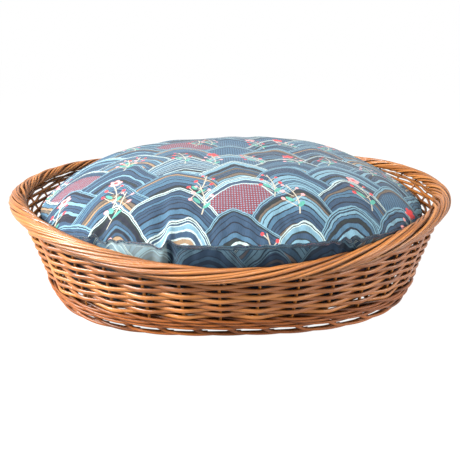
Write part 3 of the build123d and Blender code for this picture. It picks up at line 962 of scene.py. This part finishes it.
def sprigs(g, colour, px, py, cell, seed, berry, petal):
    """One upright sprig in most cells of a grid: a curved stem, side twigs, berries, leaves and a flower."""
    column = g.math("FLOOR", g.div(g.add(px, seed * 0.017), cell))
    row = g.math("FLOOR", g.div(g.add(py, seed * 0.023), cell))
    aside, slant, chance = g.luck(column, row, seed)
    u = g.sub(g.add(px, seed * 0.017), g.mul(g.add(column, 0.5), cell))
    v = g.sub(g.add(py, seed * 0.023), g.mul(g.add(row, 0.5), cell))
    u = g.sub(u, g.mul(g.sub(aside, 0.5), 0.04))
    v = g.add(v, 0.028)
    lean = g.mul(g.sub(slant, 0.5), 0.9)
    u = g.sub(u, g.mul(v, lean))
    curve = g.mul(g.math("SINE", g.mul(v, 75.0)), 0.0035)
    off = g.math("ABSOLUTE", g.sub(u, curve))
    on = g.mul(g.more(v, 0.0), g.less(v, 0.052))
    stem = g.mul(g.less(off, 0.0008), on)
    berries, leaves = None, None
    for i in range(5):
        side = 1 if i % 2 else -1
        foot = 0.010 + 0.0085 * i
        length = 0.014 - 0.0016 * i
        run = g.sub(v, foot)
        twig = g.math("ABSOLUTE", g.sub(g.mul(u, float(side)), run))
        there = g.mul(g.more(run, 0.0), g.less(run, length))
        stem = g.math("MAXIMUM", stem, g.mul(g.less(twig, 0.0008), there))
        bx = g.sub(u, side * length)
        by = g.sub(v, foot + length)
        spot = g.add(g.mul(bx, bx), g.mul(by, by))
        ball = g.less(spot, (0.0026 if i < 3 else 0.0020) ** 2)
        berries = ball if berries is None else g.math("MAXIMUM", berries, ball)
        if i < 2:
            lx = g.sub(u, side * -0.006)
            ly = g.sub(v, foot + 0.004)
            slope = g.add(g.mul(lx, 0.7 * side), g.mul(ly, 0.7))
            long = g.add(g.mul(lx, -0.7 * side), g.mul(ly, 0.7))
            oval = g.add(g.mul(g.mul(slope, slope), 6.0), g.mul(long, long))
            leaf = g.less(oval, 0.006**2)
            leaves = leaf if leaves is None else g.math("MAXIMUM", leaves, leaf)
    fx, fy = u, g.sub(v, 0.056)
    turn = g.math("ARCTAN2", fy, fx)
    scallop = g.math("ABSOLUTE", g.math("COSINE", g.mul(turn, 2.5)))
    size = g.add(g.mul(scallop, 0.0035), 0.0055)
    away = g.math("SQRT", g.add(g.mul(fx, fx), g.mul(fy, fy)))
    flower = g.less(away, size)
    heart = g.less(away, 0.0028)
    shown = g.more(chance, 0.18)
    blooms = g.more(aside, 0.45)
    colour = g.mix(g.mul(stem, shown), colour, rgb((146, 140, 126)))
    colour = g.mix(g.mul(leaves, shown), colour, rgb(MINT))
    colour = g.mix(g.mul(berries, shown), colour, rgb(berry))
    seen = g.mul(shown, blooms)
    colour = g.mix(g.mul(flower, seen), colour, rgb(petal))
    return g.mix(g.mul(heart, seen), colour, rgb(CORAL))


def calico_material():
    g = Graph("calico")
    fleck = g.noise(g.place(), 160.0, 3.0)
    colour = g.ramp(fleck, [(0.3, (206, 196, 174)), (0.7, (228, 220, 202))])
    return g.finish(colour, 0.9, g.bump(fleck, 0.0004, 0.6), Sheen_Weight=0.1)


def thread_material():
    g = Graph("seam_thread")
    fleck = g.noise(g.place(), 300.0)
    return g.finish(g.ramp(fleck, [(0.3, (22, 36, 52)), (0.7, (44, 64, 84))]), 0.8, Specular_IOR_Level=0.2)


# ---------------------------------------------------------------- make everything
make_stakes()
for number in range(1, SIDING_ROWS + 1):
    make_siding(number)
for number in range(1, WALES + 1):
    make_wale(number)
make_border()
make_foot()
make_base()
make_cushion(cotton_material("printed_cotton"), calico_material(), thread_material())
make_zip()


# ---------------------------------------------------------------- floor, light and camera
def make_floor():
    size = 40.0
    corners = [(-size, -size, 0), (size, -size, 0), (size, size, 0), (-size, size, 0)]
    g = Graph("floor_paint")
    x, y, _ = g.split(g.place())
    across, deep = g.div(x, FOOT_A), g.div(y, FOOT_B)
    away = g.math("SQRT", g.add(g.mul(across, across), g.mul(deep, deep)))
    # the floor glows softly and evenly, with a painted shadow: the glow is turned down in an oval under the
    # basket
    glow_and_painted_shadow = g.node("ShaderNodeMapRange", {0: away, 1: 0.83, 2: 0.88, 3: 0.04, 4: 0.97}).outputs[0]
    paint = g.finish((0.05, 0.05, 0.05, 1), 0.95, Emission_Color=(1, 1, 1, 1), Emission_Strength=glow_and_painted_shadow,
                     Specular_IOR_Level=0.0)
    mesh_piece("floor", corners, [(0, 1, 2, 3)], paint)


def make_light(name, place, target, size, power, colour=(1, 1, 1)):
    light = bpy.data.lights.new(name, "AREA")
    light.size, light.energy, light.color = size, power, colour
    lamp = bpy.data.objects.new(name, light)
    aim = (Vector(target) - Vector(place)).to_track_quat("-Z", "Y").to_matrix().to_4x4()
    lamp.matrix_world = Matrix.Translation(place) @ aim
    bpy.context.scene.collection.objects.link(lamp)


def make_camera():
    distance, elevation, yaw = 2.0796 * RIM_A, math.radians(26.89), 0.0338
    lens_share = 376.3 / 460
    camera = bpy.data.cameras.new("camera")
    camera.sensor_width = 36
    camera.lens = camera.sensor_width * lens_share
    camera.shift_x, camera.shift_y = -1.6 / 460, 21.6 / 460
    camera.clip_start = 0.01
    seat = bpy.data.objects.new("camera", camera)
    back = Matrix.Rotation(-yaw, 4, "Z") @ Vector((0, -math.cos(elevation), math.sin(elevation)))
    aim = (-back).to_track_quat("-Z", "Y").to_matrix().to_4x4()
    seat.matrix_world = Matrix.Translation(back * distance) @ aim
    bpy.context.scene.collection.objects.link(seat)
    bpy.context.scene.camera = seat


make_floor()
make_light("key", (-1.15, -0.5, 0.95), (-0.05, -0.05, 0.08), 0.5, 100)
make_light("top", (-0.1, 0.1, 1.6), (0, 0, 0.1), 0.9, 20)
make_light("fill", (1.3, -0.75, 0.55), (0.2, 0, 0.08), 0.8, 25, (1, 0.97, 0.93))
world = bpy.data.worlds.new("studio")
world.use_nodes = True
sky = world.node_tree
background = sky.nodes["Background"]
# white walls up to a little above the floor's edge, and a dimmer ceiling
height = sky.nodes.new("ShaderNodeSeparateXYZ")
sky.links.new(sky.nodes.new("ShaderNodeTexCoord").outputs["Generated"], height.inputs[0])
fade = sky.nodes.new("ShaderNodeMapRange")
fade.inputs["From Min"].default_value, fade.inputs["From Max"].default_value = 0.50, 0.75
fade.inputs["To Min"].default_value, fade.inputs["To Max"].default_value = 1.0, 0.3
sky.links.new(height.outputs[2], fade.inputs["Value"])
sky.links.new(fade.outputs[0], background.inputs[1])
background.inputs[0].default_value = (1, 1, 1, 1)
bpy.context.scene.world = world
bpy.context.scene.view_settings.view_transform = "Standard"
make_camera()
